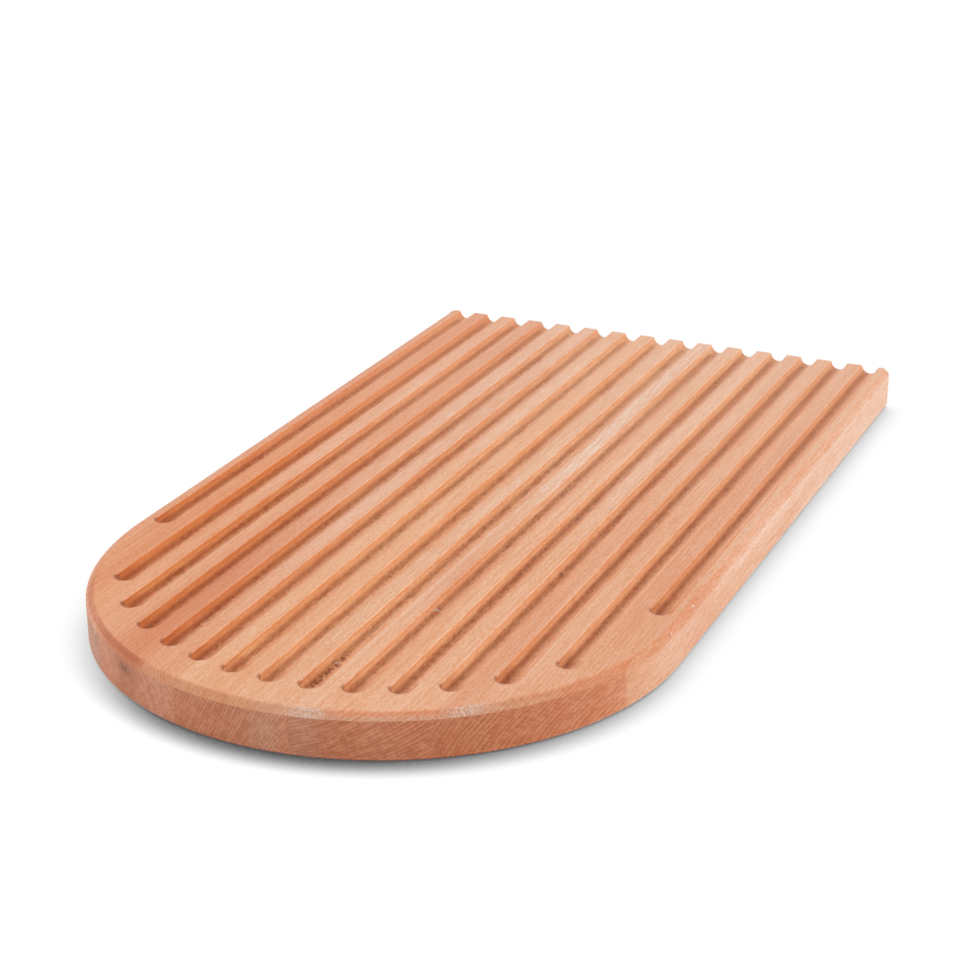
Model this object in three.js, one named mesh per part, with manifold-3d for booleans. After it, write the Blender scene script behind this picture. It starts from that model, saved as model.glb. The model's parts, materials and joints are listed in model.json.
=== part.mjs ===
// Bread board: solid beech with a half-round nose and crumb grooves, edge-glued from full-length staves.
// Millimetres. +X runs across the board, +Y from the round nose to the straight back, +Z up.
// The origin is the middle of the underside.
import * as THREE from "three";
import { mergeVertices, toCreasedNormals } from "three/addons/utils/BufferGeometryUtils.js";
import Module from "manifold-3d";

// Board blank
const BOARD_WIDTH = 230;
const BOARD_LENGTH = 415; // nose tip to back edge
const BOARD_THICKNESS = 18;
const BACK_CORNER_RADIUS = 4;
const TOP_CHAMFER = 2.5; // at 45 degrees, round the nose and along the sides
const CHAMFER_EASE_RADIUS = 2; // softens the line between the chamfer and the top face
const BOTTOM_ARRIS = 1.5;
const BACK_SHARE = 0.2; // the back edge, where the grooves run out, is broken only this much as far

// Staves: the panel is cut to width after gluing, so the two edge staves are what is left of full ones
const LEFT_STAVE_WIDTH = 40.2;
const STAVE_WIDTH = 45.8;
const GLUE_LINE = 0.2;

// Crumb grooves: ball-nosed, open at the back, with round ends on a half ellipse inside the nose
const GROOVE_PITCH = 15;
const GROOVE_SIDE_MARGIN = 10; // least distance from a side to a groove's centre line
const GROOVE_RADIUS = 4;
const GROOVE_DEPTH = 3.8;
const GROOVE_EDGE_EASE = 0.5;
const NOSE_MARGIN = 16.2; // plain wood between the nose tip and the middle groove
const END_LINE_DEPTH = 102.7; // how far the middle groove reaches past the outermost ones

// Facets
const NOSE_STEPS = 96;
const CORNER_STEPS = 5;
const EASE_STEPS = 3;
const BALL_STEPS = 7;
const END_STEPS = 24;

// A cutter runs this far past the face that it breaks through
const OVERCUT = 2;
const CREASE_ANGLE = Math.PI / 6;

// Colours of the staves, from the redder left side to the paler right side
const STAVE_COLOURS = [0xe0a280, 0xe5ac8a, 0xeab795, 0xe9b593, 0xe7b08e, 0xecbd9e];
const GLUE_COLOUR = 0xb98058;
const WOOD_ROUGHNESS = 0.62;
const GLUE_ROUGHNESS = 0.5;

const NOSE_RADIUS = BOARD_WIDTH / 2;
const NOSE_TIP_Y = -BOARD_LENGTH / 2;
const NOSE_CENTRE_Y = NOSE_TIP_Y + NOSE_RADIUS;
const BACK_Y = BOARD_LENGTH / 2;
const QUARTER = Math.PI / 2;

const wasm = await Module();
wasm.setup();

// A closed three.js geometry as a solid that can be cut.
function solidOf(geometry) {
  const bare = geometry.clone();
  bare.deleteAttribute("normal");
  bare.deleteAttribute("uv");
  const merged = mergeVertices(bare);
  return new wasm.Manifold(
    new wasm.Mesh({
      numProp: 3,
      vertProperties: new Float32Array(merged.attributes.position.array),
      triVerts: new Uint32Array(merged.index.array),
    }),
  );
}

function geometryOf(solid) {
  const mesh = solid.getMesh();
  const geometry = new THREE.BufferGeometry();
  geometry.setAttribute("position", new THREE.BufferAttribute(mesh.vertProperties, 3));
  geometry.setIndex(new THREE.BufferAttribute(mesh.triVerts, 1));
  return toCreasedNormals(geometry, CREASE_ANGLE);
}

function arc(x, y, radius, start, end, steps) {
  return new THREE.EllipseCurve(x, y, radius, radius, start, end, end < start).getPoints(steps);
}

// A run of places round the board's edge: where each lies, which way is in, and its share of the rim section.
function edgeRun(x, y, radius, start, steps, turn, fromShare, toShare) {
  return Array.from({ length: steps + 1 }, (_, i) => {
    const angle = start + (turn * i) / steps;
    const out = new THREE.Vector2(Math.cos(angle), Math.sin(angle));
    return {
      place: new THREE.Vector2(x, y).addScaledVector(out, radius),
      inward: out.negate(),
      share: fromShare + ((toShare - fromShare) * i) / steps,
    };
  });
}

// The board's edge in plan: the half-round nose, then the two back corners.
function boardEdge() {
  const cornerX = BOARD_WIDTH / 2 - BACK_CORNER_RADIUS;
  const cornerY = BACK_Y - BACK_CORNER_RADIUS;
  return [
    ...edgeRun(0, NOSE_CENTRE_Y, NOSE_RADIUS, -2 * QUARTER, NOSE_STEPS, 2 * QUARTER, 1, 1),
    ...edgeRun(cornerX, cornerY, BACK_CORNER_RADIUS, 0, CORNER_STEPS, QUARTER, 1, BACK_SHARE),
    ...edgeRun(-cornerX, cornerY, BACK_CORNER_RADIUS, QUARTER, CORNER_STEPS, QUARTER, BACK_SHARE, 1),
  ];
}

// One point of the rim section carried to a place on the edge, where its cuts keep only their share.
function rimPoint(point, { place, inward, share }) {
  const flat = place.clone().addScaledVector(inward, point.x * share);
  const nearest = point.y > BOARD_THICKNESS / 2 ? BOARD_THICKNESS : 0;
  return new THREE.Vector3(flat.x, flat.y, nearest + (point.y - nearest) * share);
}

// The section of the rim from the underside up: x is the inset from the outline, y the height.
function rimSection() {
  const top = BOARD_THICKNESS;
  const easeLength = CHAMFER_EASE_RADIUS * Math.tan(QUARTER / 4);
  const easeX = TOP_CHAMFER + easeLength;
  return [
    new THREE.Vector2(BOTTOM_ARRIS, 0),
    new THREE.Vector2(0, BOTTOM_ARRIS),
    new THREE.Vector2(0, top - TOP_CHAMFER),
    ...arc(easeX, top - CHAMFER_EASE_RADIUS, CHAMFER_EASE_RADIUS, 1.5 * QUARTER, QUARTER, EASE_STEPS),
  ];
}

// The blank: the rim section carried round the outline, closed by the flat underside and top.
function blankGeometry() {
  const edge = boardEdge();
  const rings = rimSection().map((point) => edge.map((spot) => rimPoint(point, spot)));
  const count = rings[0].length;
  const indices = [];
  for (let ring = 0; ring + 1 < rings.length; ring += 1) {
    for (let i = 0; i < count; i += 1) {
      const a = ring * count + i;
      const b = ring * count + ((i + 1) % count);
      indices.push(a, b, b + count, a, b + count, a + count);
    }
  }
  const topStart = (rings.length - 1) * count;
  for (const [a, b, c] of THREE.ShapeUtils.triangulateShape(rings[0], [])) {
    indices.push(c, b, a);
  }
  for (const [a, b, c] of THREE.ShapeUtils.triangulateShape(rings.at(-1), [])) {
    indices.push(topStart + a, topStart + b, topStart + c);
  }
  const geometry = new THREE.BufferGeometry().setFromPoints(rings.flat());
  geometry.setIndex(indices);
  return geometry;
}

// Half the section of a groove's cutter, from its lowest point up: the ball, then the eased edge.
function grooveSection() {
  const top = BOARD_THICKNESS;
  const ballZ = top - GROOVE_DEPTH + GROOVE_RADIUS;
  const easeZ = top - GROOVE_EDGE_EASE;
  const reach = GROOVE_RADIUS + GROOVE_EDGE_EASE;
  const tilt = Math.asin(Math.max(0, ballZ - easeZ) / reach);
  const easeX = reach * Math.cos(tilt);
  return [
    ...arc(0, ballZ, GROOVE_RADIUS, -QUARTER, -tilt, BALL_STEPS),
    ...arc(easeX, easeZ, GROOVE_EDGE_EASE, 2 * QUARTER - tilt, QUARTER, EASE_STEPS).slice(1),
    new THREE.Vector2(easeX, top + OVERCUT),
    new THREE.Vector2(0, top + OVERCUT),
  ];
}

function grooveXs() {
  const span = BOARD_WIDTH - 2 * GROOVE_SIDE_MARGIN;
  const gaps = Math.floor(span / GROOVE_PITCH);
  return Array.from({ length: gaps + 1 }, (_, i) => (i - gaps / 2) * GROOVE_PITCH);
}

// Where the cutter stops in the groove at x.
function grooveEndY(x, outermostX) {
  const lineY = NOSE_TIP_Y + NOSE_MARGIN + GROOVE_RADIUS + END_LINE_DEPTH;
  return lineY - END_LINE_DEPTH * Math.sqrt(1 - (x / outermostX) ** 2);
}

function cutGrooves(blank) {
  const half = grooveSection();
  const mirrored = half.slice(1, -1).map((point) => new THREE.Vector2(-point.x, point.y));
  const section = new THREE.Shape([...half, ...mirrored.reverse()]);
  const roundEnd = new THREE.LatheGeometry(half, END_STEPS).rotateX(QUARTER);
  const xs = grooveXs();
  let board = blank;
  for (const x of xs) {
    const endY = grooveEndY(x, xs.at(-1));
    const depth = BACK_Y + OVERCUT - endY;
    const run = new THREE.ExtrudeGeometry(section, { depth, bevelEnabled: false });
    run.rotateX(QUARTER).translate(x, BACK_Y + OVERCUT, 0);
    board = board.subtract(solidOf(run));
    board = board.subtract(solidOf(roundEnd.clone().translate(x, endY, 0)));
  }
  return board;
}

// What lies between two upright planes across the board.
function sliceOf(board, fromX, toX) {
  const length = BOARD_LENGTH + 2 * OVERCUT;
  const height = BOARD_THICKNESS + 2 * OVERCUT;
  const slab = new THREE.BoxGeometry(toX - fromX, length, height);
  slab.translate((fromX + toX) / 2, 0, BOARD_THICKNESS / 2);
  return board.intersect(solidOf(slab));
}

function jointXs() {
  const xs = [];
  for (let x = LEFT_STAVE_WIDTH - BOARD_WIDTH / 2; x + GLUE_LINE < BOARD_WIDTH / 2; x += STAVE_WIDTH) {
    xs.push(x);
  }
  return xs;
}

function meshOf(name, solid, color, roughness) {
  const material = new THREE.MeshStandardMaterial({ color, roughness, metalness: 0 });
  const mesh = new THREE.Mesh(geometryOf(solid), material);
  mesh.name = name;
  return mesh;
}

function breadBoard() {
  const group = new THREE.Group();
  const board = cutGrooves(solidOf(blankGeometry()));
  const joints = jointXs();
  const edges = [-BOARD_WIDTH / 2 - OVERCUT, ...joints, BOARD_WIDTH / 2 + OVERCUT];
  for (let i = 0; i + 1 < edges.length; i += 1) {
    const stave = sliceOf(board, edges[i] + GLUE_LINE / 2, edges[i + 1] - GLUE_LINE / 2);
    const colour = STAVE_COLOURS[i % STAVE_COLOURS.length];
    group.add(meshOf(`stave_${i + 1}`, stave, colour, WOOD_ROUGHNESS));
  }
  joints.forEach((x, i) => {
    const film = sliceOf(board, x - GLUE_LINE / 2, x + GLUE_LINE / 2);
    group.add(meshOf(`glue_line_${i + 1}`, film, GLUE_COLOUR, GLUE_ROUGHNESS));
  });
  return group;
}

export default breadBoard();
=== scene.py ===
"""Looks of the beech bread board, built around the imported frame. Metres, in the frame's own axes."""

import json
import math
from collections import namedtuple

import bmesh
import bpy
from mathutils import Matrix, Vector


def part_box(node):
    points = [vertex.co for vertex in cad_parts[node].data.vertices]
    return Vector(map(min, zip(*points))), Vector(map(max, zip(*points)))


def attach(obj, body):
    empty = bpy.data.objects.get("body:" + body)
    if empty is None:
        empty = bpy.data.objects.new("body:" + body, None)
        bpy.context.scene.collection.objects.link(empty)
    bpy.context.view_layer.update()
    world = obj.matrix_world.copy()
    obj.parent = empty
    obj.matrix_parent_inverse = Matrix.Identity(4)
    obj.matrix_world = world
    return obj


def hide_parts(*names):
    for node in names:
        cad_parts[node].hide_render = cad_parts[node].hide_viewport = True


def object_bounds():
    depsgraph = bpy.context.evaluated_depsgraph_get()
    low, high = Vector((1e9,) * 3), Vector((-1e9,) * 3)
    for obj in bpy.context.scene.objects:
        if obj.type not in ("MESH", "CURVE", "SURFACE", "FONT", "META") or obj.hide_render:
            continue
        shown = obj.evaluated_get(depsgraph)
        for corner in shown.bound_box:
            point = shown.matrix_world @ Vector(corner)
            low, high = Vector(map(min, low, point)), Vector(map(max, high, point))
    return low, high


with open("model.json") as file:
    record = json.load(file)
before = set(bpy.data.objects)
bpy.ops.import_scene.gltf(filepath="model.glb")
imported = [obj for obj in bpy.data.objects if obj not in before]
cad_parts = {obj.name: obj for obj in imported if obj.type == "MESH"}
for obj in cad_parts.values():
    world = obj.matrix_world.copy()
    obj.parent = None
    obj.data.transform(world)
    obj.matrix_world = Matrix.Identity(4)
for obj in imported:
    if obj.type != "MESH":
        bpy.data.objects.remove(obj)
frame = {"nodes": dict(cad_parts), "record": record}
CAD_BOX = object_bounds()
MM = 0.001

# Board, from the frame
LOW, HIGH = (Vector(corner) for corner in CAD_BOX)
HALF_WIDTH = (HIGH.x - LOW.x) / 2
TOP_Z = HIGH.z
BACK_Y = HIGH.y
NOSE_CENTRE_Y = LOW.y + HALF_WIDTH
STAVES = sorted(name for name in frame["nodes"] if name.startswith("stave_"))
GLUE_LINES = sorted(name for name in frame["nodes"] if name.startswith("glue_line_"))
GROOVE_BOXES = [opening["box_m"] for opening in frame["record"]["physics"]["openings"]]
GROOVE_XS = [(low[0] + high[0]) / 2 for low, high in GROOVE_BOXES]
GROOVE_PITCH = GROOVE_XS[1] - GROOVE_XS[0]
OUTER_END_Y = GROOVE_BOXES[0][0][1]
MIDDLE_END_Y = min(low[1] for low, _ in GROOVE_BOXES)

# Edges and groove section
BACK_CORNER_RADIUS = 4 * MM
TOP_CHAMFER = 2.5 * MM
CHAMFER_EASE = 2 * MM
BOTTOM_ARRIS = 1.5 * MM
BACK_SHARE = 0.2  # the back edge is broken only this much as far
GROOVE_RADIUS = 4 * MM
GROOVE_DEPTH = 3.8 * MM
GROOVE_EASE = 0.5 * MM
OVERCUT = 3 * MM

# Facets
NOSE_STEPS = 256
CORNER_STEPS = 10
EASE_STEPS = 8
BALL_STEPS = 14
END_STEPS = 40
SHARP_ANGLE = math.radians(32)

# The materials and the fibres are worked out in millimetres, and so are the values from here to the lamps
# Wood of each stave; end: colour of the end grain; ring: width of a year's growth
# pith: the tree's middle, from the stave's middle at half height
# runs: redder or paler grain, each x, y, half width, half length, colour, strength
Wood = namedtuple("Wood", "colour end pith ring runs")
RED = (0.67, 0.21, 0.088)
ROSE = (0.73, 0.33, 0.205)
CREAM = (0.89, 0.62, 0.47)
WOODS = {
    "stave_1": Wood((0.80, 0.355, 0.18), (0.80, 0.395, 0.265), (-60, 70), 1.6, [
        (-113, 60, 5, 240, ROSE, 0.7),
        (-82, 60, 5, 150, CREAM, 0.45),
        (-97, -130, 3, 70, RED, 0.35),
        (-97, 180, 6, 110, RED, 0.6),
    ]),
    "stave_2": Wood((0.80, 0.38, 0.21), (0.92, 0.385, 0.22), (-70, -60), 1.5, [
        (-55, -150, 8, 110, RED, 1.0),
        (-51, 90, 6, 130, CREAM, 0.6),
        (-67, 200, 5, 90, ROSE, 0.6),
        (-37, 80, 5, 190, CREAM, 0.5),
    ]),
    "stave_3": Wood((0.84, 0.435, 0.245), (0.82, 0.305, 0.15), (90, -50), 1.2, [
        (-22, 110, 6, 110, CREAM, 0.5),
        (8, 60, 5, 240, CREAM, 0.57),
        (12, -208, 10, 12, CREAM, 0.2),
    ]),
    "stave_4": Wood((0.845, 0.44, 0.255), (0.73, 0.255, 0.12), (-58, 115), 1.3, [
        (22, 95, 5, 165, CREAM, 1.25),
        (25, -88, 5, 34, RED, 0.5),
        (37, 130, 5, 90, CREAM, 0.35),
        (48, 60, 8, 190, CREAM, 0.35),
        (20, -208, 8, 12, CREAM, 0.25),
    ]),
    "stave_5": Wood((0.82, 0.415, 0.24), (0.70, 0.245, 0.11), (83, -56), 1.4, [
        (67, -140, 5, 90, RED, 0.45),
        (70, 90, 6, 130, CREAM, 0.3),
        (99, 40, 5, 160, ROSE, 0.5),
    ]),
    "stave_6": Wood((0.825, 0.435, 0.26), (0.79, 0.37, 0.2), (60, -40), 1.0, [
        (116, 60, 2.5, 400, CREAM, 0.9),
        (113, -75, 3, 25, RED, 0.35),
    ]),
}
GLUE_WOOD = Wood((0.77, 0.36, 0.195), (0.71, 0.26, 0.125), (0, 90), 2.0, [])
STAVE_SHIFT = 0.73  # moves the grain's noise on from stave to stave
WOOD_ROUGHNESS = 0.5
BUMP_DISTANCE = 0.08 * MM
BUMP_FINE, BUMP_DASHES, BUMP_TORN = 0.5, 0.4, 4

# Grain: width and length of its lines, how far each sways the tone, and the size of pores in x, y and z
WANDER, WANDER_REACH = (60, 140), 6
FINE_LINES, FINE_CONTRAST = (0.75, 12), 1.8
MEDIUM_LINES, MEDIUM_CONTRAST = (2.4, 90), 1.0
BROAD_LINES, BROAD_CONTRAST = (12, 130), 1.3
DASHES, DASH_CONTRAST = (0.6, 2.4), 2.2
MID_TONE, LATE_TONE = 0.6, 0.26
LATE_RISE, LATE_FALL = (0.25, 0.85), (0.9, 1.0)  # shares of a year's growth
RING_WARP, RING_WARP_REACH = (20, 260), 1.6
RING_LINES, RING_CONTRAST = (0.55, 7), 3.0
RAYS, RAY_CONTRAST = (0.55, 6), 1.4
PORES, PORE_CONTRAST = (0.7, 0.7, 0.7), 1.4
END_MEDIUM_CONTRAST = 1.4
END_MID_TONE, END_LATE_TONE = 0.66, 0.5
END_FACING, CHAMFER_END_LOSS = (0.1, 0.5), 0.6
RUN_SHARE, RUN_CONTRAST = 0.75, 1.2
DARK_GRAIN = (0.92, 0.78, 0.66)
PALE_GRAIN = (1.05, 1.17, 1.30)
DARK_END = (0.84, 0.70, 0.60)
PALE_END = (1.10, 1.24, 1.36)
PALE_BACK_Y, PALE_BACK_SHARE = (-20, 200), 0.25

# Grooves: tints, most of them painted shade and painted light on the walls and beds, and where each fades in
# or out
# beside is counted from a groove's centre line to the right, behind from the middle of its round end
# Wall colour is partly real, partly painted shade; low walls, front left walls, right beds and back beds are
# painted shade; beds and back walls painted light
WALL_COLOUR_AND_SHADE = (0.88, 0.80, 0.66)
LOW_WALL_SHADE = (1.06, 0.96, 0.77)
BED_LIGHT = (1.06, 1.09, 1.11)
FRONT_LEFT_WALL_SHADE = (0.92, 0.80, 0.62)
RIGHT_BED_SHADE = (0.87, 0.77, 0.70)
BACK_WALL_LIGHT = (1.09, 1.12, 1.14)
BACK_BED_SHADE = (0.90, 0.84, 0.82)
# A painted highlight along the grooves' lips
LIP_HIGHLIGHT = (1.10, 1.10, 1.08)
# Dark rim at the front left of each round end: partly a dark lip, partly painted shade
TIP_TINT = (0.38, 0.23, 0.15)
TIP_SHADE_TINT = (0.86, 0.76, 0.70)
SPECK_TINT = (0.78, 0.64, 0.54)
GROOVED_INSET, GROOVED_FROM_BACK = (3.4, 4.4), (0.1, 0.6)
BELOW_GROOVES = (5, 6)
WALL_DEPTH = (0.05, 0.6)
LOW_DEPTH = (1.8, 2.8)
BED_DEPTH = (3.35, 3.65)
LEFT_WALL_X, LEFT_WALL_Y = (-60, 0), (-60, 90)
RIGHT_BED_X, RIGHT_BED_BESIDE = (10, 50), (-0.8, 0.6)
BACK_WALL_Y = (20, 150)
BACK_BED_X, BACK_BED_BESIDE = (-15, 30), (0, 1.2)
LIP_DEPTH, LIP_WIDTH, LIP_FACING = 0.12, 0.14, (0.06, 0.3)
TIP_SHADE_BEHIND = (5, 15)
TIP_RING_RADIUS, TIP_RING_WIDTH, TIP_RING_SHARE = 4.2, 0.5, 0.9
TIP_RING_BEHIND, TIP_RING_BESIDE, TIP_RING_DEPTH = (-1.5, 1.0), (0.3, 2.5), (0.9, 1.8)
SPECKS, SPECK_NOISE = (1.1, 3.2, 1.1), (0.40, 0.66)
SPECKS_BESIDE = (-1.4, 0.2)
SPECKS_BACK_Y, SPECKS_BACK_LOSS = (-20, 120), 0.75
ROUGH_STRETCHES, ROUGH_NOISE = (2.3, 26, 9), (0.42, 0.6)  # spacing between grooves, length, seed
SMOOTH_SHARE = 0.4  # what is left of the specks elsewhere

# Chamfer: its place and tints, and the x at which each tint fades in, or in and out again
CHAMFER_INSET, CHAMFER_DEPTH = (2.5, 3.2), (2.3, 2.7)
UPPER_CHAMFER_DEPTH = (1.3, 1.8)
BOTTOM_RIM_INSET, BOTTOM_RIM_Z = (1.2, 2.0), (1.3, 1.9)
RED_RIM = (0.60, 0.22, 0.12)
RED_BAND_TINT = (0.93, 0.77, 0.71)
PALE_BAND_TINT = (1.10, 1.17, 1.28)
FRONT_RIM_TINT = (1.10, 0.98, 0.92)
WARM_RIM = (1.0, 0.88, 0.82)
# Painted light: a pale line on the bottom arris where it turns towards the white floor
BOTTOM_RIM_LIGHT = (1.25, 1.35, 1.45)
# Pale raised fibres, brightened with painted sheen
FUZZ_AND_SHEEN = (0.95, 0.72, 0.61)
FUZZ_SHARE = 0.74
RED_RIM_X = (-80, -68, -50, -44)
RED_BAND_X = (-105, -96, -50, -44)
RED_STREAKS, RED_SHARE, RED_CONTRAST = (1.2, 6, 6), 0.55, 0.9
PALE_BAND_END_X = (-85, -65)
FRONT_RIM_X = (24, 34, 62, 72)
WARM_RIM_X = (88, 98)
FUZZ_X, FUZZ_Y, FUZZ_DEPTH = (22, 34, 76, 96), (-150, -110), (0.9, 1.7)
FUZZ_PATCHES = [(23, 7), (70.5, 5.5)]  # x and half width
FUZZ_SPECKS, FUZZ_NOISE = (0.75, 0.75, 0.75), (0.40, 0.62)
PATCH_BASE, PATCH_SPECKS, BETWEEN_SPECKS = 0.2, 0.95, 0.4

# Small marks: grain torn low in the grooves, most of all in one; a dark pin and painted shade in the left
# tips of two grooves, each x, y, z and radius;
# and the knot on the nose's left
TORN_TINT = (0.44, 0.27, 0.18)
TORN_BESIDE, TORN_HALF_WIDTH = -1.5, 1.1
TORN_INSET, TORN_DEPTH = (4, 5), (2.2, 2.8, 5, 6)
TORN_GROOVE_X, TORN_GROOVE_HALF = 15, 4
TORN_Y = (-184, -182, -160, -150)
TORN_STRETCHES, TORN_NOISE = (3.1, 30, 5), (0.5, 0.68)
TORN_ELSEWHERE = 0.4
BITES, BITE_NOISE = (1.8, 2.1, 1.8), (0.46, 0.56)
PIN_AND_TIP_SHADE_SPOTS = [(57.4, -64.7, 15.2, 0.8), (-93.7, -137.2, 16.7, 0.9), (-78.8, -156.4, 16.7, 0.7)]
KNOT_PLACE = (-55.5, -193.2, 12.2)
KNOT_HALF_SIZES = (4.6, 3.4, 1.7)
KNOT_STREAKS, KNOT_NOISE = (1.4, 1.4, 0.5), (0.32, 0.6)
KNOT_SHARE = 0.95
# The knot's dark colour, also used for the painted shade in two groove tips
KNOT_AND_TIP_SHADE = (0.24, 0.09, 0.06)

# Lifted fibres: x, y, z, bearing in degrees, length and radius
FIBRES = [
    (27.7, -113.6, 15.2, 24, 3.6, 0.34),
    (13.4, -164.8, 14.8, 20, 1.8, 0.34),
    (56.1, -79.6, 17.4, 60, 1.6, 0.22),
    (54.8, -4.1, 18.0, 35, 1.8, 0.22),
    (113.9, -99.4, 16.8, 120, 2.2, 0.22),
    (113.7, -75.2, 17.0, 75, 2.4, 0.22),
    (108.9, -54.6, 18.0, 100, 2.0, 0.22),
    (110.7, -2.7, 18.0, 80, 2.2, 0.22),
]
FIBRE_BEND = 0.08
FIBRE_END_SHARE = 0.25  # how thick a fibre's ends are, of its middle
FIBRE_STEPS = 8
FIBRE_SIDES = 6
FIBRE_DARK = (0.93, 0.82, 0.73)
FIBRE_PALE = (0.98, 0.95, 0.92)
FIBRE_MOTTLE = (0.2, 0.2, 0.2)
FIBRE_ROUGHNESS = 0.6

# Studio light: azimuth, elevation, strength and spread of each lamp; azimuth 0 is in front, 90 at the right
LAMPS = {
    "key": (240, 48, 0.50, 9),
    "right": (90, 17, 0.35, 9),
    "back_right": (135, 12, 0.28, 9),
    "right_fill": (90, 60, 0.33, 30),
    "front_left": (315, 25, 0.24, 22),
}
SKY_IN_REFLECTIONS = 0.9
FLOOR_COLOUR = (0.85, 0.85, 0.85)
FLOOR_HALF_SIZE = 6
# The floor's contact shadow is painted by an ambient-occlusion node in its material; the lamps don't cast it
SHADOW_REACH = 12 * MM
SHADOW_LEAN = Vector((-0.15, 0.97, 0.2))
SHADOW_DEPTH = 2.15
SHADOW_FALL = 1.7
SHADOW_LEFT_SHARE = 0.6  # what is left of the shadow on the board's left
SHADOW_FADE_X = (-90, -35)  # millimetres

# Camera, from the photograph's outline, groove ends and edge lines
IMAGE_SIZE = 966
FOCAL_PIXELS = 2213.7
SENSOR_WIDTH = 36
CAMERA_AZIMUTH = math.radians(24.1026)
CAMERA_ELEVATION = math.radians(22.3648)
CAMERA_ROLL = math.radians(-0.1835)
CAMERA_DISTANCE = 0.96519
CAMERA_TARGET = Vector((-0.021956, 0.04016, 0.0))
CLIP_START = 0.01


def link(obj):
    bpy.context.scene.collection.objects.link(obj)
    return obj


def arc(x, y, radius, start, end, steps):
    angles = [start + (end - start) * i / steps for i in range(steps + 1)]
    return [(x + radius * math.cos(a), y + radius * math.sin(a)) for a in angles]


def edge_run(x, y, radius, start, turn, steps, from_share, to_share):
    """Places along the board's edge: where each lies, which way is in, and its share of the rim section."""
    run = []
    for i in range(steps + 1):
        angle = start + turn * i / steps
        out = Vector((math.cos(angle), math.sin(angle)))
        share = from_share + (to_share - from_share) * i / steps
        run.append((Vector((x, y)) + radius * out, -out, share))
    return run


def board_edge():
    """The board's edge in plan: the half-round nose, then the two back corners."""
    quarter = math.pi / 2
    radius = BACK_CORNER_RADIUS
    corner_x = HALF_WIDTH - radius
    corner_y = BACK_Y - radius
    return (
        edge_run(0, NOSE_CENTRE_Y, HALF_WIDTH, -math.pi, math.pi, NOSE_STEPS, 1, 1)
        + edge_run(corner_x, corner_y, radius, 0, quarter, CORNER_STEPS, 1, BACK_SHARE)
        + edge_run(-corner_x, corner_y, radius, quarter, quarter, CORNER_STEPS, BACK_SHARE, 1)
    )


def rim_point(inset, height, place, inward, share):
    """A point of the rim section carried to a place on the edge, where its cuts keep only their share."""
    flat = place + inset * share * inward
    nearest = TOP_Z if height > TOP_Z / 2 else 0
    return (*flat, nearest + (height - nearest) * share)


def rim_section():
    """(inset, height) of the rim from the underside up."""
    ease_x = TOP_CHAMFER + CHAMFER_EASE * math.tan(math.pi / 8)
    ease = arc(ease_x, TOP_Z - CHAMFER_EASE, CHAMFER_EASE, 0.75 * math.pi, 0.5 * math.pi, EASE_STEPS)
    return [(BOTTOM_ARRIS, 0), (0, BOTTOM_ARRIS), (0, TOP_Z - TOP_CHAMFER)] + ease


def groove_section():
    """(radius, height) of half a groove's cutter, from its lowest point up."""
    ball_z = TOP_Z - GROOVE_DEPTH + GROOVE_RADIUS
    ease_z = TOP_Z - GROOVE_EASE
    reach = GROOVE_RADIUS + GROOVE_EASE
    tilt = math.asin(max(0, ball_z - ease_z) / reach)
    ease_x = reach * math.cos(tilt)
    ball = arc(0, ball_z, GROOVE_RADIUS, -math.pi / 2, -tilt, BALL_STEPS)
    ease = arc(ease_x, ease_z, GROOVE_EASE, math.pi - tilt, math.pi / 2, EASE_STEPS)
    return ball[1:] + ease[1:] + [(ease_x, TOP_Z + OVERCUT)]


def new_object(name, bm):
    bmesh.ops.recalc_face_normals(bm, faces=bm.faces)
    mesh = bpy.data.meshes.new(name)
    bm.to_mesh(mesh)
    bm.free()
    return link(bpy.data.objects.new(name, mesh))


def loft(bm, rings):
    """Joins closed rings of points into a closed body."""
    rows = [[bm.verts.new(point) for point in ring] for ring in rings]
    for lower, upper in zip(rows, rows[1:]):
        for i in range(len(lower)):
            j = (i + 1) % len(lower)
            bm.faces.new((lower[i], lower[j], upper[j], upper[i]))
    bm.faces.new(rows[0][::-1])
    bm.faces.new(rows[-1])


def blank_object():
    bm = bmesh.new()
    edge = board_edge()
    loft(bm, [[rim_point(inset, z, *spot) for spot in edge] for inset, z in rim_section()])
    return new_object("blank", bm)


def cutter_object():
    """One closed cutter for each groove: a round end, then a straight run out through the back."""
    bm = bmesh.new()
    for x, (low, _) in zip(GROOVE_XS, GROOVE_BOXES):
        rings = []
        for radius, z in groove_section():
            outline = arc(x, low[1], radius, -math.pi, 0, END_STEPS)
            outline += [(x + radius, BACK_Y + OVERCUT), (x - radius, BACK_Y + OVERCUT)]
            rings.append([(px, py, z) for px, py in outline])
        loft(bm, rings)
    return new_object("cutter", bm)


def slab_object(low_x, high_x):
    bm = bmesh.new()
    bmesh.ops.create_cube(bm, size=1)
    size = Vector((high_x - low_x, HIGH.y - LOW.y + OVERCUT, TOP_Z + OVERCUT))
    centre = Vector(((low_x + high_x) / 2, 0, TOP_Z / 2))
    bmesh.ops.transform(bm, matrix=Matrix.LocRotScale(centre, None, size), verts=bm.verts)
    return new_object("slab", bm)


def boolean(obj, operation, tool):
    modifier = obj.modifiers.new(operation.lower(), "BOOLEAN")
    modifier.operation = operation
    modifier.object = tool
    modifier.solver = "EXACT"


def apply_modifiers(obj):
    graph = bpy.context.evaluated_depsgraph_get()
    mesh = bpy.data.meshes.new_from_object(obj.evaluated_get(graph))
    obj.modifiers.clear()
    obj.data = mesh


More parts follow.
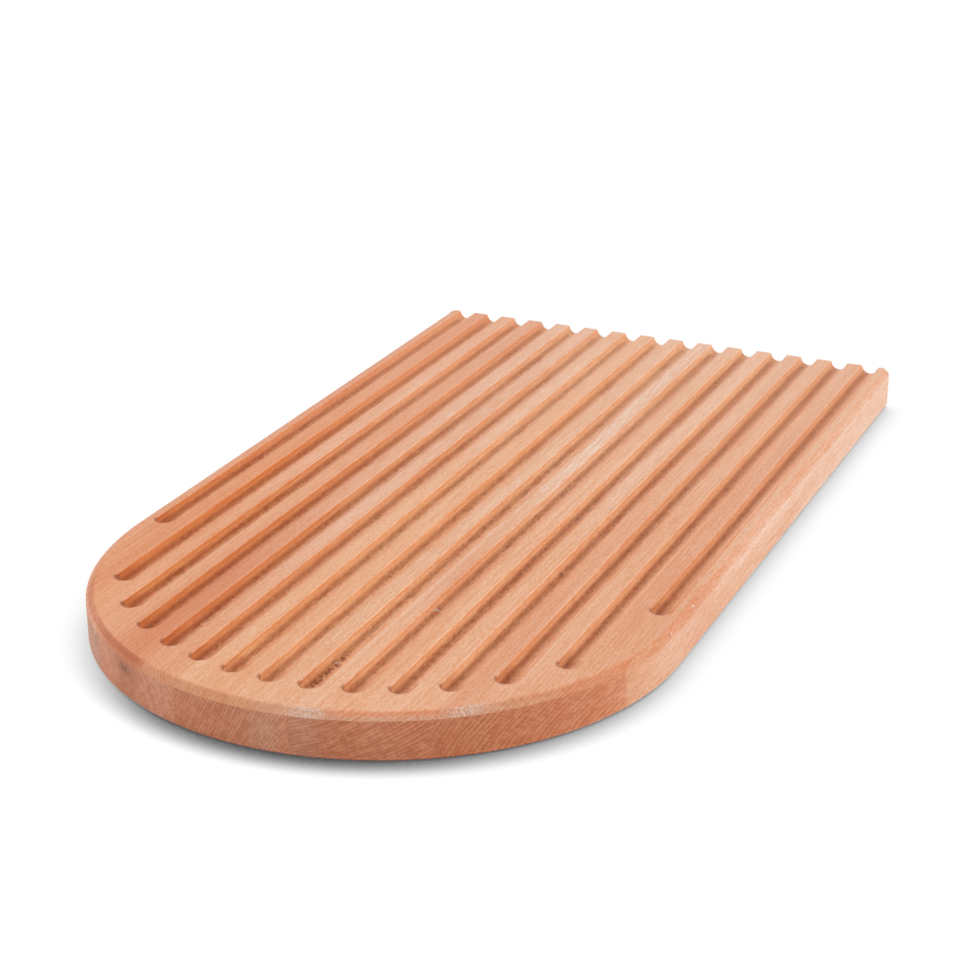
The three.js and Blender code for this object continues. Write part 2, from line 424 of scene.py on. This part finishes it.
def make_stave(node, blank, cutter):
    """A stave with finer facets than its node, cut from the blank between the same joints."""
    low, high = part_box(node)
    low_x = low.x if low.x > LOW.x + OVERCUT else LOW.x - OVERCUT
    high_x = high.x if high.x < HIGH.x - OVERCUT else HIGH.x + OVERCUT
    slab = slab_object(low_x, high_x)
    stave = link(bpy.data.objects.new(node + "_wood", blank.data.copy()))
    boolean(stave, "INTERSECT", slab)
    boolean(stave, "DIFFERENCE", cutter)
    apply_modifiers(stave)
    bpy.data.objects.remove(slab)
    stave.data.shade_smooth()
    stave.data.set_sharp_from_angle(angle=SHARP_ANGLE)
    weighted = stave.modifiers.new("flat tops", "WEIGHTED_NORMAL")
    weighted.keep_sharp = True
    stave.data.materials.clear()
    stave.data.materials.append(beech_material("beech_" + node, node, WOODS[node]))
    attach(stave, "root")
    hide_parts(node)


class Value:
    """A number that a material works out at each point. Arithmetic on it adds math nodes."""

    def __init__(self, graph, socket):
        self.graph = graph
        self.socket = socket

    def __add__(self, other):
        return self.graph.math("ADD", self, other)

    def __sub__(self, other):
        return self.graph.math("SUBTRACT", self, other)

    def __rsub__(self, other):
        return self.graph.math("SUBTRACT", other, self)

    def __mul__(self, other):
        return self.graph.math("MULTIPLY", self, other)

    def __truediv__(self, other):
        return self.graph.math("DIVIDE", self, other)

    __radd__ = __add__
    __rmul__ = __mul__


class Graph:
    """The nodes of one material, written as expressions."""

    def __init__(self, name):
        self.material = bpy.data.materials.new(name)
        self.material.use_nodes = True
        self.tree = self.material.node_tree
        self.shader = self.tree.nodes["Principled BSDF"]

    def feed(self, socket, value):
        if isinstance(value, Value):
            self.tree.links.new(value.socket, socket)
        elif isinstance(value, tuple) and len(socket.default_value) == 4:
            socket.default_value = (*value, 1)
        else:
            socket.default_value = value

    def node(self, kind, *values, **settings):
        node = self.tree.nodes.new("ShaderNode" + kind)
        for name, value in settings.items():
            setattr(node, name, value)
        for socket, value in zip(node.inputs, values):
            self.feed(socket, value)
        return node

    def out(self, node, output=0):
        return Value(self, node.outputs[output])

    def math(self, operation, *values):
        return self.out(self.node("Math", *values, operation=operation))

    def coordinates(self, output):
        """The three components of the object's own coordinates or normal."""
        vector = self.out(self.node("TexCoord"), output)
        parts = self.node("SeparateXYZ", vector)
        return [self.out(parts, i) for i in range(3)]

    def step(self, value, low, high):
        """0 below low and 1 above high, with a smooth run between."""
        return self.out(self.node("MapRange", value, low, high, 0, 1, interpolation_type="SMOOTHSTEP"))

    def span(self, value, rise_from, rise_to, fall_from, fall_to):
        """1 in a stretch, rising and falling smoothly at its ends, and 0 elsewhere."""
        return self.step(value, rise_from, rise_to) * (1 - self.step(value, fall_from, fall_to))

    def bell(self, *offsets):
        """1 where every offset is 0, fading to nothing a few units away."""
        squares = sum((offset * offset for offset in offsets[1:]), offsets[0] * offsets[0])
        return self.math("EXPONENT", squares * -1)

    def noise(self, x, y, z, detail=2.0):
        node = self.node("TexNoise", self.out(self.node("CombineXYZ", x, y, z)))
        node.inputs["Scale"].default_value = 1
        node.inputs["Detail"].default_value = detail
        return self.out(node)

    def mix(self, factor, first, second, blend="MIX"):
        node = self.node("Mix", data_type="RGBA", blend_type=blend)
        for index, value in ((0, factor), (6, first), (7, second)):
            self.feed(node.inputs[index], value)
        return self.out(node, 2)

    def tint(self, colour, tints):
        """Multiplies a colour by each (mask, tint) in turn."""
        for mask, tint in tints:
            colour = self.mix(mask, colour, tint, "MULTIPLY")
        return colour

    def bump(self, height, distance):
        node = self.node("Bump")
        self.feed(node.inputs["Height"], height)
        node.inputs["Distance"].default_value = distance
        self.feed(self.shader.inputs["Normal"], self.out(node, "Normal"))


# Where a point of the wood lies: inset is from the nose and sides, depth from the top face
Place = namedtuple("Place", "x y z inset depth normal_x normal_y")
# The grain there: outward and around are its place in the tree, and the rest is noise, rings and tone
Grain = namedtuple("Grain", "across outward around late fine medium dashes tone")


def tinted(colour, tint):
    return tuple(c * t for c, t in zip(colour, tint))


def swing(noise, contrast):
    """Noise, which lies about a half, as a swing to either side of 0."""
    return contrast * (noise - 0.5)


def board_inset(g, x, y):
    """How far a point lies inside the nose and the sides."""
    past_nose = g.math("MINIMUM", y - NOSE_CENTRE_Y / MM, 0)
    from_middle = g.math("SQRT", x * x + past_nose * past_nose)
    return HALF_WIDTH / MM - from_middle


def own_place(g):
    """The object's own coordinates, in millimetres."""
    return [value / MM for value in g.coordinates("Object")]


def board_place(g):
    x, y, z = own_place(g)
    normal_x, normal_y, _ = g.coordinates("Normal")
    return Place(x, y, z, board_inset(g, x, y), TOP_Z / MM - z, normal_x, normal_y)


def lines(g, across, p, size, shift, detail=2.0):
    """Noise drawn out along the board into lines of a width and length."""
    width, length = size
    return g.noise(across / width + shift, p.y / length, p.z / width, detail)


def mottle(g, p, sizes, detail=2.0):
    """Noise of a size in x, y and z."""
    return g.noise(*(value / size for value, size in zip(p, sizes)), detail)


def ring_places(g, p, wood, middle_x, across, shift):
    """How far a point lies from the tree's middle, and its place round the tree."""
    pith_x, pith_z = wood.pith
    dx = across - (middle_x + pith_x)
    dz = p.z - (TOP_Z / MM / 2 + pith_z)
    warp = RING_WARP_REACH * lines(g, across, p, RING_WARP, shift)
    around = g.math("ARCTAN2", dz, dx) * math.hypot(pith_x, pith_z)
    return g.math("SQRT", dx * dx + dz * dz) + warp, around


def late_wood(g, wood, outward):
    """1 in the dark late wood of each year, 0 in the pale early wood."""
    year = g.math("FRACT", outward / wood.ring)
    return g.step(year, *LATE_RISE) - g.step(year, *LATE_FALL)


def stave_grain(g, p, node, wood):
    """The grain along a stave: fine to broad lines, short dashes and the rings that the surface cuts."""
    low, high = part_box(node)
    middle_x = (low.x + high.x) / 2 / MM
    shift = round(middle_x) * STAVE_SHIFT
    across = p.x + swing(lines(g, p.x, p, WANDER, shift), WANDER_REACH)
    outward, around = ring_places(g, p, wood, middle_x, across, shift)
    late = late_wood(g, wood, outward)
    fine = lines(g, across, p, FINE_LINES, shift, detail=4)
    medium = lines(g, across, p, MEDIUM_LINES, shift)
    broad = lines(g, across, p, BROAD_LINES, shift)
    dashes = lines(g, across, p, DASHES, shift)
    spread = swing(fine, FINE_CONTRAST) + swing(medium, MEDIUM_CONTRAST)
    spread = spread + swing(broad, BROAD_CONTRAST) + swing(dashes, DASH_CONTRAST)
    tone = MID_TONE + spread - LATE_TONE * late
    return Grain(across, outward, around, late, fine, medium, dashes, tone)


def end_grain(g, p, wood, grain):
    """The colour of the end grain, with ring lines crossed by rays, and its pores."""
    pores = mottle(g, p, PORES)
    ring_width, ring_length = RING_LINES
    ray_width, ray_length = RAYS
    ring_lines = g.noise(grain.outward / ring_width, grain.around / ring_length, p.y / ring_length)
    rays = g.noise(grain.outward / ray_length, grain.around / ray_width, p.y / ring_length, detail=1)
    drawn = swing(ring_lines, RING_CONTRAST) + swing(rays, RAY_CONTRAST)
    tone = END_MID_TONE - END_LATE_TONE * grain.late + drawn
    tone = tone + swing(pores, PORE_CONTRAST) + swing(grain.medium, END_MEDIUM_CONTRAST)
    return g.mix(tone, tinted(wood.end, DARK_END), tinted(wood.end, PALE_END)), pores


def colour_runs(g, colour, p, wood, grain):
    """A paler back, and the stave's own redder and paler runs."""
    colour = g.mix(PALE_BACK_SHARE * g.step(p.y, *PALE_BACK_Y), colour, CREAM)
    for mid_x, mid_y, half_width, half_length, run_colour, strength in wood.runs:
        run = g.bell((grain.across - mid_x) / half_width, (p.y - mid_y) / half_length)
        grained = g.mix(grain.tone, tinted(run_colour, DARK_GRAIN), tinted(run_colour, PALE_GRAIN))
        colour = g.mix(run * strength * (RUN_SHARE + swing(grain.fine, RUN_CONTRAST)), colour, grained)
    return colour


def groove_offset(g, x):
    """The nearest groove's centre line, and how far a point lies to the right of it."""
    first, pitch = GROOVE_XS[0] / MM, GROOVE_PITCH / MM
    centre = g.math("ROUND", (x - first) / pitch) * pitch + first
    return centre, x - centre


def behind_end(g, centre, y):
    """How far a point lies behind the middle of its groove's round end."""
    share = centre * (MM / GROOVE_XS[-1])
    reach = g.math("SQRT", g.math("MAXIMUM", 1 - share * share, 0))
    return y - OUTER_END_Y / MM + reach * ((OUTER_END_Y - MIDDLE_END_Y) / MM)


def groove_stretches(g, p, centre, kind):
    """Noise in stretches along each groove, different from groove to groove."""
    spacing, length, seed = kind
    return g.noise(centre * spacing, p.y / length, seed)


def groove_specks(g, p, centre, beside):
    """Specks on a groove's left half, in rough stretches, and fewer towards the back."""
    specks = g.step(mottle(g, p, SPECKS, detail=1), *SPECK_NOISE)
    stretches = g.step(groove_stretches(g, p, centre, ROUGH_STRETCHES), *ROUGH_NOISE)
    rough = SMOOTH_SHARE + (1 - SMOOTH_SHARE) * stretches
    left_half = 1 - g.step(beside, *SPECKS_BESIDE)
    return rough * specks * left_half * (1 - SPECKS_BACK_LOSS * g.step(p.y, *SPECKS_BACK_Y))


def groove_tints(g, p, inside, centre, beside, behind):
    """(mask, tint) of the grooves' walls, low walls, beds, specks, shaded ends and lips. The walls' warmer
    colour is partly real and partly painted shade; the low walls, front left walls, right beds and back beds
    carry painted shade, the beds and back walls painted light, and the lips a painted highlight.
    """
    wall = inside * g.step(p.depth, *WALL_DEPTH)
    low = g.step(p.depth, *LOW_DEPTH)
    bed = g.step(p.depth, *BED_DEPTH)
    front_left = (1 - g.step(p.x, *LEFT_WALL_X)) * (1 - g.step(p.y, *LEFT_WALL_Y))
    right_bed = g.step(p.x, *RIGHT_BED_X) * low * (1 - g.step(beside, *RIGHT_BED_BESIDE))
    back = g.step(p.y, *BACK_WALL_Y)
    back_bed = bed * back * g.step(p.x, *BACK_BED_X) * (1 - g.step(beside, *BACK_BED_BESIDE))
    # A painted highlight along each lip that faces right
    lip_highlight = g.bell((p.depth - LIP_DEPTH) / LIP_WIDTH) * g.step(p.normal_x, *LIP_FACING)
    return (
        # Painted shade and light in the grooves, with the walls' own warmer colour and the torn specks
        (wall * (1 - low), WALL_COLOUR_AND_SHADE),
        (wall * low * (1 - bed), LOW_WALL_SHADE),
        (wall * (1 - bed) * front_left, FRONT_LEFT_WALL_SHADE),
        (wall * bed, BED_LIGHT),
        (wall * right_bed, RIGHT_BED_SHADE),
        (wall * low * (1 - bed) * back, BACK_WALL_LIGHT),
        (wall * back_bed, BACK_BED_SHADE),
        (wall * low * groove_specks(g, p, centre, beside), SPECK_TINT),
        (wall * (1 - g.step(behind, *TIP_SHADE_BEHIND)), TIP_SHADE_TINT),
        (inside * lip_highlight, LIP_HIGHLIGHT),
    )


def dark_tip_rim(g, p, beside, behind):
    """The dark rim at the front left of a groove's round end: partly a dark lip, partly painted shade just
    inside it.
    """
    past = g.math("MINIMUM", behind, 0)
    from_end = g.math("SQRT", beside * beside + past * past)
    front_left = (1 - g.step(behind, *TIP_RING_BEHIND)) * (1 - g.step(beside, *TIP_RING_BESIDE))
    ring = g.bell((from_end - TIP_RING_RADIUS) / TIP_RING_WIDTH)
    return front_left * ring * (1 - g.step(p.depth, *TIP_RING_DEPTH))


def groove_colours(g, colour, p):
    """Warm walls and paler beds, partly painted shade and light; painted highlights on the lips; and the dark
    round ends of the grooves, partly painted shade.
    """
    centre, beside = groove_offset(g, p.x)
    behind = behind_end(g, centre, p.y)
    inside = g.step(p.inset, *GROOVED_INSET) * g.step(BACK_Y / MM - p.y, *GROOVED_FROM_BACK)
    inside = inside * (1 - g.step(p.depth, *BELOW_GROOVES))
    colour = g.tint(colour, groove_tints(g, p, inside, centre, beside, behind))
    # The dark rim: partly a dark lip, partly painted shade just inside it
    dark_rim = TIP_RING_SHARE * inside * dark_tip_rim(g, p, beside, behind)
    return g.tint(colour, [(dark_rim, TIP_TINT)])


def rim_fuzz(g, p):
    """Raised fibres on the chamfer, pale with painted sheen: two patches in front, and specks low down
    between them.
    """
    front = 1 - g.step(p.y, *FUZZ_Y)
    patches = sum(g.bell((p.x - x) / half) for x, half in FUZZ_PATCHES)
    between = BETWEEN_SPECKS * g.span(p.x, *FUZZ_X) * g.step(p.depth, *FUZZ_DEPTH)
    specks = g.step(mottle(g, p, FUZZ_SPECKS, detail=3), *FUZZ_NOISE)
    return front * g.math("MAXIMUM", patches * (PATCH_BASE + PATCH_SPECKS * specks), between * specks)


def rim_colours(g, colour, chamfer, p):
    """The chamfer: red on the left, warm on the right, with pale fuzz in front that carries painted sheen;
    and painted light on the bottom arris.
    """
    upper = 1 - g.step(p.depth, *UPPER_CHAMFER_DEPTH)
    streaky = RED_SHARE + swing(mottle(g, p, RED_STREAKS), RED_CONTRAST)
    colour = g.mix(chamfer * g.span(p.x, *RED_RIM_X) * streaky, colour, RED_RIM)
    # The bottom arris, with painted light
    bottom = (1 - g.step(p.inset, *BOTTOM_RIM_INSET)) * (1 - g.step(p.z, *BOTTOM_RIM_Z))
    colour = g.tint(colour, (
        (chamfer * upper * g.span(p.x, *RED_BAND_X), RED_BAND_TINT),
        (chamfer * (1 - upper) * (1 - g.step(p.x, *PALE_BAND_END_X)), PALE_BAND_TINT),
        (chamfer * upper * g.span(p.x, *FRONT_RIM_X), FRONT_RIM_TINT),
        (chamfer * g.step(p.x, *WARM_RIM_X), WARM_RIM),
        (bottom, BOTTOM_RIM_LIGHT),
    ))
    fuzz = chamfer * rim_fuzz(g, p)
    # Pale fuzz, brightened with painted sheen
    return g.mix(FUZZ_SHARE * fuzz, colour, FUZZ_AND_SHEEN), fuzz


def torn_grain(g, p):
    """Dark pits low on the groove walls that the cutter tore against the grain."""
    centre, beside = groove_offset(g, p.x)
    low_wall = g.bell((beside - TORN_BESIDE) / TORN_HALF_WIDTH) * g.span(p.depth, *TORN_DEPTH)
    worst = g.bell((centre - TORN_GROOVE_X) / TORN_GROOVE_HALF) * g.span(p.y, *TORN_Y)
    elsewhere = TORN_ELSEWHERE * g.step(groove_stretches(g, p, centre, TORN_STRETCHES), *TORN_NOISE)
    bites = g.step(mottle(g, p, BITES, detail=1), *BITE_NOISE)
    return low_wall * g.step(p.inset, *TORN_INSET) * g.math("MAXIMUM", elsewhere, worst) * bites


def pin_and_tip_shade(g, p):
    """A dark pin in a groove, and painted shade in the left tips of two grooves."""
    spots = [g.bell((p.x - x) / radius, (p.y - y) / radius, (p.z - z) / radius) for x, y, z, radius in PIN_AND_TIP_SHADE_SPOTS]
    return g.math("MINIMUM", sum(spots), 1)


def knot(g, p):
    """A small dark knot with torn streaks beside it."""
    offsets = [(value - place) / half for value, place, half in zip(p, KNOT_PLACE, KNOT_HALF_SIZES)]
    return g.bell(*offsets) * g.step(mottle(g, p, KNOT_STREAKS, detail=3), *KNOT_NOISE)


def beech_material(name, node, wood):
    g = Graph(name)
    p = board_place(g)
    grain = stave_grain(g, p, node, wood)
    colour = g.mix(grain.tone, tinted(wood.colour, DARK_GRAIN), tinted(wood.colour, PALE_GRAIN))
    chamfer = (1 - g.step(p.inset, *CHAMFER_INSET)) * (1 - g.step(p.depth, *CHAMFER_DEPTH))
    end = g.step(g.math("ABSOLUTE", p.normal_y), *END_FACING) * (1 - CHAMFER_END_LOSS * chamfer)
    end_colour, pores = end_grain(g, p, wood, grain)
    colour = g.mix(end, colour, end_colour)
    colour = colour_runs(g, colour, p, wood, grain)
    colour = groove_colours(g, colour, p)
    colour, fuzz = rim_colours(g, colour, chamfer, p)
    torn = torn_grain(g, p)
    colour = g.tint(colour, [(torn, TORN_TINT)])
    # The knot, the dark pin and painted shade in two groove tips
    colour = g.mix(g.math("MAXIMUM", pin_and_tip_shade(g, p), KNOT_SHARE * knot(g, p)), colour, KNOT_AND_TIP_SHADE)
    g.feed(g.shader.inputs["Base Color"], colour)
    g.shader.inputs["Roughness"].default_value = WOOD_ROUGHNESS
    along = BUMP_FINE * grain.fine + BUMP_DASHES * grain.dashes
    g.bump(along + end * pores + fuzz - BUMP_TORN * torn, BUMP_DISTANCE)
    return g.material


def fibre_material():
    g = Graph("lifted_fibre")
    colour = g.mix(mottle(g, own_place(g), FIBRE_MOTTLE), FIBRE_DARK, FIBRE_PALE)
    g.feed(g.shader.inputs["Base Color"], colour)
    g.shader.inputs["Roughness"].default_value = FIBRE_ROUGHNESS
    return g.material


def fibre_rings(x, y, z, bearing, length, thickest):
    """Sections of a thin sliver that arches off the wood and bends sideways."""
    along = Vector((math.cos(math.radians(bearing)), math.sin(math.radians(bearing)), 0))
    aside = Vector((-along.y, along.x, 0))
    turns = [2 * math.pi * k / FIBRE_SIDES for k in range(FIBRE_SIDES)]
    rings = []
    for i in range(FIBRE_STEPS + 1):
        t = i / FIBRE_STEPS
        arch = math.sin(math.pi * t)
        radius = thickest * (FIBRE_END_SHARE + (1 - FIBRE_END_SHARE) * arch)
        centre = Vector((x, y, z)) + along * length * (t - 0.5) + aside * FIBRE_BEND * length * arch
        centre.z += thickest * arch
        rings.append([
            (centre + aside * radius * math.cos(a) + Vector((0, 0, radius * math.sin(a)))) * MM for a in turns
        ])
    return rings


def make_fibres():
    bm = bmesh.new()
    for fibre in FIBRES:
        loft(bm, fibre_rings(*fibre))
    fibres = new_object("lifted_fibres", bm)
    fibres.data.shade_smooth()
    fibres.data.materials.append(fibre_material())
    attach(fibres, "root")


def direction(azimuth, elevation):
    """Unit vector towards a place seen from the board."""
    level = math.cos(elevation)
    return Vector((math.sin(azimuth) * level, -math.cos(azimuth) * level, math.sin(elevation)))


def make_camera():
    data = bpy.data.cameras.new("camera")
    data.sensor_fit = "HORIZONTAL"
    data.sensor_width = SENSOR_WIDTH
    data.lens = SENSOR_WIDTH * FOCAL_PIXELS / IMAGE_SIZE
    data.clip_start = CLIP_START
    camera = link(bpy.data.objects.new("camera", data))
    roll = CAMERA_ROLL
    back = direction(CAMERA_AZIMUTH, CAMERA_ELEVATION)
    right = Vector((math.cos(CAMERA_AZIMUTH), math.sin(CAMERA_AZIMUTH), 0))
    up = back.cross(right)
    side = math.cos(roll) * right + math.sin(roll) * up
    head = -math.sin(roll) * right + math.cos(roll) * up
    turn = Matrix((side, head, back)).transposed().to_4x4()
    camera.matrix_world = Matrix.Translation(CAMERA_TARGET + CAMERA_DISTANCE * back) @ turn
    bpy.context.scene.camera = camera


def contact_shadow(g):
    """Painted shadow: how dark the board makes the floor beside it, from ambient occlusion rather than the
    lamps, weaker on the left.
    """
    shade = g.node("AmbientOcclusion")
    shade.inputs["Distance"].default_value = SHADOW_REACH
    lean = g.node("CombineXYZ", *SHADOW_LEAN.normalized())
    g.feed(shade.inputs["Normal"], g.out(lean))
    floor_x, _, _ = g.coordinates("Object")
    share = SHADOW_LEFT_SHARE + (1 - SHADOW_LEFT_SHARE) * g.step(floor_x / MM, *SHADOW_FADE_X)
    return SHADOW_DEPTH * share * g.math("POWER", 1 - g.out(shade, "AO"), SHADOW_FALL)


def make_floor():
    """White to the camera but for the board's soft painted contact shadow; a pale floor to every other ray.
    """
    bm = bmesh.new()
    bmesh.ops.create_grid(bm, x_segments=1, y_segments=1, size=FLOOR_HALF_SIZE)
    floor = new_object("floor", bm)
    g = Graph("floor")
    seen = g.out(g.node("LightPath"), "Is Camera Ray")
    g.feed(g.shader.inputs["Base Color"], g.mix(seen, FLOOR_COLOUR, (0, 0, 0)))
    g.shader.inputs["Roughness"].default_value = 1
    g.shader.inputs["Specular IOR Level"].default_value = 0
    g.feed(g.shader.inputs["Emission Color"], (1, 1, 1))
    g.feed(g.shader.inputs["Emission Strength"], seen * g.math("MAXIMUM", 1 - contact_shadow(g), 0))
    floor.data.materials.append(g.material)


def make_lamp(name, azimuth, elevation, strength, spread):
    data = bpy.data.lights.new(name, "SUN")
    data.energy = math.pi * strength
    data.angle = math.radians(spread)
    lamp = link(bpy.data.objects.new(name, data))
    towards = direction(math.radians(azimuth), math.radians(elevation))
    lamp.rotation_euler = (-towards).to_track_quat("-Z", "Y").to_euler()
    lamp.visible_glossy = False


def make_sky():
    """White where the camera or a reflection looks past the board; it adds no other light."""
    world = bpy.data.worlds.new("studio")
    bpy.context.scene.world = world
    world.use_nodes = True
    nodes, links = world.node_tree.nodes, world.node_tree.links
    background = nodes["Background"]
    background.inputs["Color"].default_value = (1, 1, 1, 1)
    path = nodes.new("ShaderNodeLightPath")
    glossy = nodes.new("ShaderNodeMath")
    glossy.operation = "MULTIPLY_ADD"
    glossy.inputs[1].default_value = SKY_IN_REFLECTIONS
    links.new(path.outputs["Is Glossy Ray"], glossy.inputs[0])
    links.new(path.outputs["Is Camera Ray"], glossy.inputs[2])
    links.new(glossy.outputs[0], background.inputs["Strength"])


def make_board():
    """Finer staves in place of their nodes; the glue lines are the nodes with a wood material."""
    blank = blank_object()
    cutter = cutter_object()
    for node in STAVES:
        make_stave(node, blank, cutter)
    bpy.data.objects.remove(blank)
    bpy.data.objects.remove(cutter)
    make_fibres()
    for node in GLUE_LINES:
        line = frame["nodes"][node]
        line.data.materials.clear()
        line.data.materials.append(beech_material(node, node, GLUE_WOOD))


make_camera()
make_floor()
make_sky()
for name, place in LAMPS.items():
    make_lamp(name, *place)
bpy.context.scene.view_settings.view_transform = "Standard"
make_board()
